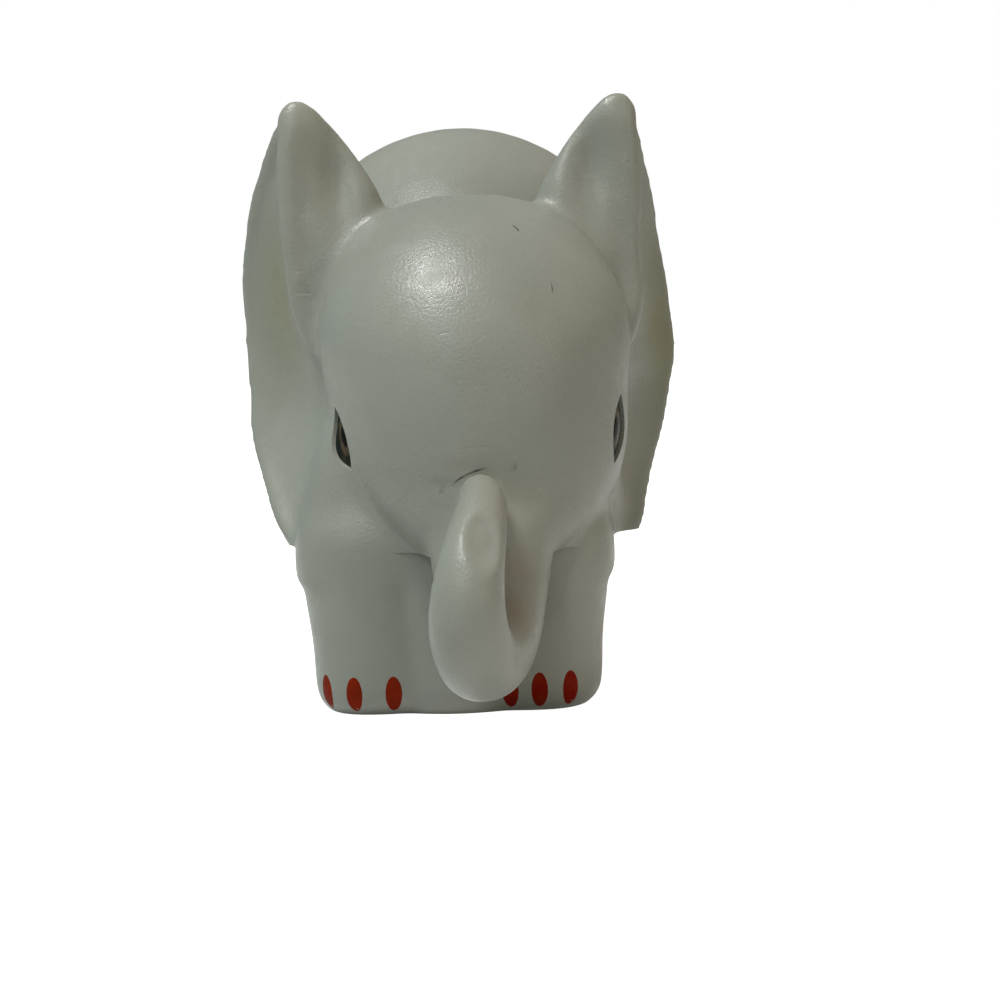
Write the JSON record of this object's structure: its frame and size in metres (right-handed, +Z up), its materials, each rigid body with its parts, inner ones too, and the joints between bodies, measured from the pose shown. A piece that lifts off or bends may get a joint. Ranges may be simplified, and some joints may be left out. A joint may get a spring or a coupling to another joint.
{
  "type": "toy elephant figure",
  "caption": "Chunky toy elephant figure with broad standing ears, a curled trunk and painted toenails, whose head turns on an upright neck pin.",
  "frame": {"origin": "on the floor under the middle of the bounding box", "axes": "+Z up, the elephant faces -Y, +X to its left"},
  "size_m": [0.0586, 0.11, 0.0758],
  "materials": {
    "shell_plastic": "satin, light grey, fine scuffs",
    "plate_plastic": "matt moulded",
    "tail_rubber": "soft matt",
    "nail_paint": "orange-red paint",
    "eye_dark": "gloss",
    "iris_brown": "gloss",
    "pupil_black": "gloss",
    "bush_plastic": "matt",
    "hardware_steel": "zinc plated"
  },
  "bodies": {
    "torso": {"belly_plate": "plate_plastic", "belly_screw_1": "hardware_steel", "belly_screw_2": "hardware_steel", "belly_screw_3": "hardware_steel", "belly_screw_4": "hardware_steel", "body_shell": "shell_plastic", "neck_bush": "bush_plastic", "tail": "tail_rubber", "toenail_front_left_1": "nail_paint", "toenail_front_left_2": "nail_paint", "toenail_front_left_3": "nail_paint", "toenail_front_right_1": "nail_paint", "toenail_front_right_2": "nail_paint", "toenail_front_right_3": "nail_paint", "toenail_hind_left_1": "nail_paint", "toenail_hind_left_2": "nail_paint", "toenail_hind_left_3": "nail_paint", "toenail_hind_right_1": "nail_paint", "toenail_hind_right_2": "nail_paint", "toenail_hind_right_3": "nail_paint"},
    "head": {"eye_left": "eye_dark", "eye_right": "eye_dark", "head_floor": "plate_plastic", "head_floor_screw_1": "hardware_steel", "head_floor_screw_2": "hardware_steel", "head_floor_screw_3": "hardware_steel", "head_shell": "shell_plastic", "iris_left": "iris_brown", "iris_right": "iris_brown", "neck_retaining_washer": "hardware_steel", "neck_screw": "hardware_steel", "neck_spring_washer": "hardware_steel", "pupil_left": "pupil_black", "pupil_right": "pupil_black"}
  },
  "joints": [
    {"name": "head_turn", "type": "hinge", "parent": "torso", "child": "head", "pos_m": [0.00191, -0.00839, 0.0205], "axis": [0, 0, 1], "range_deg": [-19.5, 4.5]}
  ]
}
